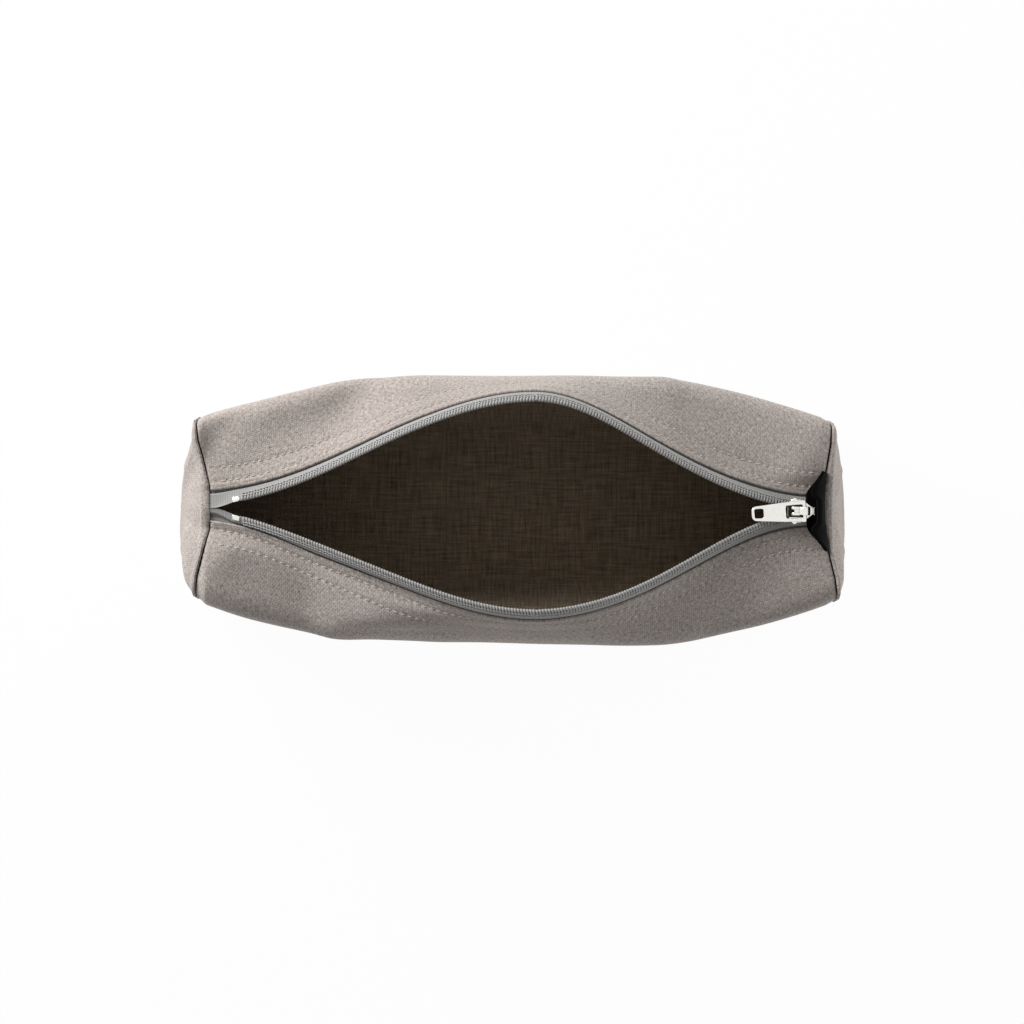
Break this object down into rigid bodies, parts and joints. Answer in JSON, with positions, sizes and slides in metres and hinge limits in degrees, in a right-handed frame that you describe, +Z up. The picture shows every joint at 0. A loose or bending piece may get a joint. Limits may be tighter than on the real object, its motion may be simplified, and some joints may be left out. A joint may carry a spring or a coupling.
{
  "type": "pen case",
  "caption": "Soft canvas pen case, open and empty, a lined box on a flat base with a coil zip along its top, a metal slider with a pull tab, and a ribbon tab at one end.",
  "frame": {"origin": "middle of the flat base, at the height of the surface that the case stands on", "axes": "+X along the case towards the end where the slider rests, +Y towards the back, +Z up through the zip opening"},
  "size_m": [0.206, 0.0826, 0.0595],
  "materials": {
    "canvas": "warm grey cotton canvas in a fine twill",
    "lining": "dark grey brown plain weave",
    "zip_tape": "mid grey woven polyester tape",
    "zip_coil": "mid grey satin coil of polyester monofilament",
    "zip_metal": "bright nickel on a die-cast slider",
    "spring_steel": "plain spring steel",
    "tab_ribbon": "black grosgrain ribbon"
  },
  "bodies": {
    "case": {"body_panel": "canvas", "left_end_panel": "canvas", "right_end_panel": "canvas", "body_lining": "lining", "left_end_lining": "lining", "right_end_lining": "lining", "front_top_stop": "zip_metal", "back_top_stop": "zip_metal", "bottom_stop": "zip_metal", "end_tab": "tab_ribbon"},
    "front_stringer": {"front_tape": "zip_tape", "front_coil": "zip_coil"},
    "back_stringer": {"back_tape": "zip_tape", "back_coil": "zip_coil"},
    "slider": {"slider_body": "zip_metal", "slider_cap": "zip_metal", "lock_spring": "spring_steel"},
    "pull": {"pull_tab": "zip_metal"}
  },
  "joints": [
    {"name": "zip_close", "type": "slide", "parent": "case", "child": "slider", "axis": [-1, 0, 0], "range_m": [0, 0.1695]},
    {"name": "pull_swing", "type": "hinge", "parent": "slider", "child": "pull", "pos_m": [0.0895, 0, 0.04732], "axis": [0, 1, 0], "range_deg": [0, 110]},
    {"name": "front_lip", "type": "slide", "parent": "case", "child": "front_stringer", "axis": [0, 0.8868, -0.4622], "range_m": [0, 0.03462], "deforming": ["front_tape", "front_coil"]},
    {"name": "back_lip", "type": "slide", "parent": "case", "child": "back_stringer", "axis": [0, -0.9008, -0.4341], "range_m": [0, 0.03686], "deforming": ["back_tape", "back_coil"]}
  ],
  "couplings": [
    {"joint": "front_lip", "follows": "zip_close", "ratio": 0.20424},
    {"joint": "back_lip", "follows": "zip_close", "ratio": 0.21743}
  ]
}
